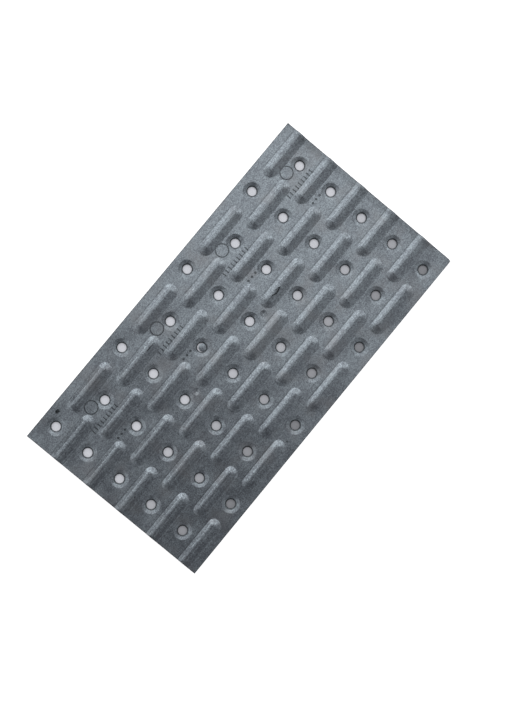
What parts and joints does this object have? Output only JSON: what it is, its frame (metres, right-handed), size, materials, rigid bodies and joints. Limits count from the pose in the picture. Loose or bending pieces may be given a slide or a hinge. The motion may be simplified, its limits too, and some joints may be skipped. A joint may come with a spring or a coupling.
{
  "type": "truss nail plate",
  "caption": "Flat rectangular nail plate of galvanised sheet steel with staggered rows of seated nail holes and pressed stiffening ribs.",
  "frame": {"origin": "middle of the plate, on the flat underside that lies against the timber", "axes": "+X along the plate's length, across its rows of holes; +Y along a row; +Z out of the ribbed face that the nails enter"},
  "size_m": [0.2, 0.106, 0.0023],
  "materials": {
    "galvanised_steel": "dull hot-dip galvanised, fine grain"
  },
  "bodies": {
    "root": {"nail_plate": "galvanised_steel"}
  },
  "joints": []
}
